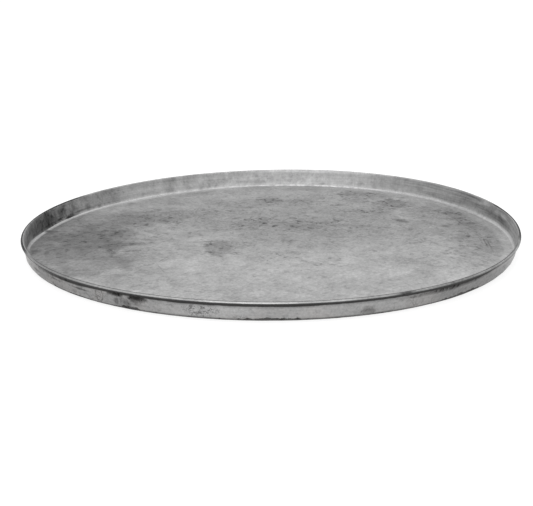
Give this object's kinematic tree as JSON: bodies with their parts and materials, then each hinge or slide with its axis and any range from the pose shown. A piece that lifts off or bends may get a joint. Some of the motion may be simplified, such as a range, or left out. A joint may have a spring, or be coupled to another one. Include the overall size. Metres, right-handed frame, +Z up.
{
  "type": "candle tray",
  "caption": "Shallow round candle tray raised from aged zinc-finished sheet metal, with a low leaning wall and a rim rolled outwards over a stiffening wire.",
  "frame": {"origin": "where the tray's axis meets the plane of its underside, on the table", "axes": "+Z up along the tray's axis; +X to the right and +Y away from the viewer of the picture"},
  "size_m": [0.4, 0.4, 0.015],
  "materials": {
    "aged_zinc": "zinc-finished sheet steel with a cloudy grey patina, satin",
    "drawn_wire": "plain drawn steel wire"
  },
  "bodies": {
    "root": {"tray_pan": "aged_zinc", "rim_wire": "drawn_wire"}
  },
  "joints": []
}
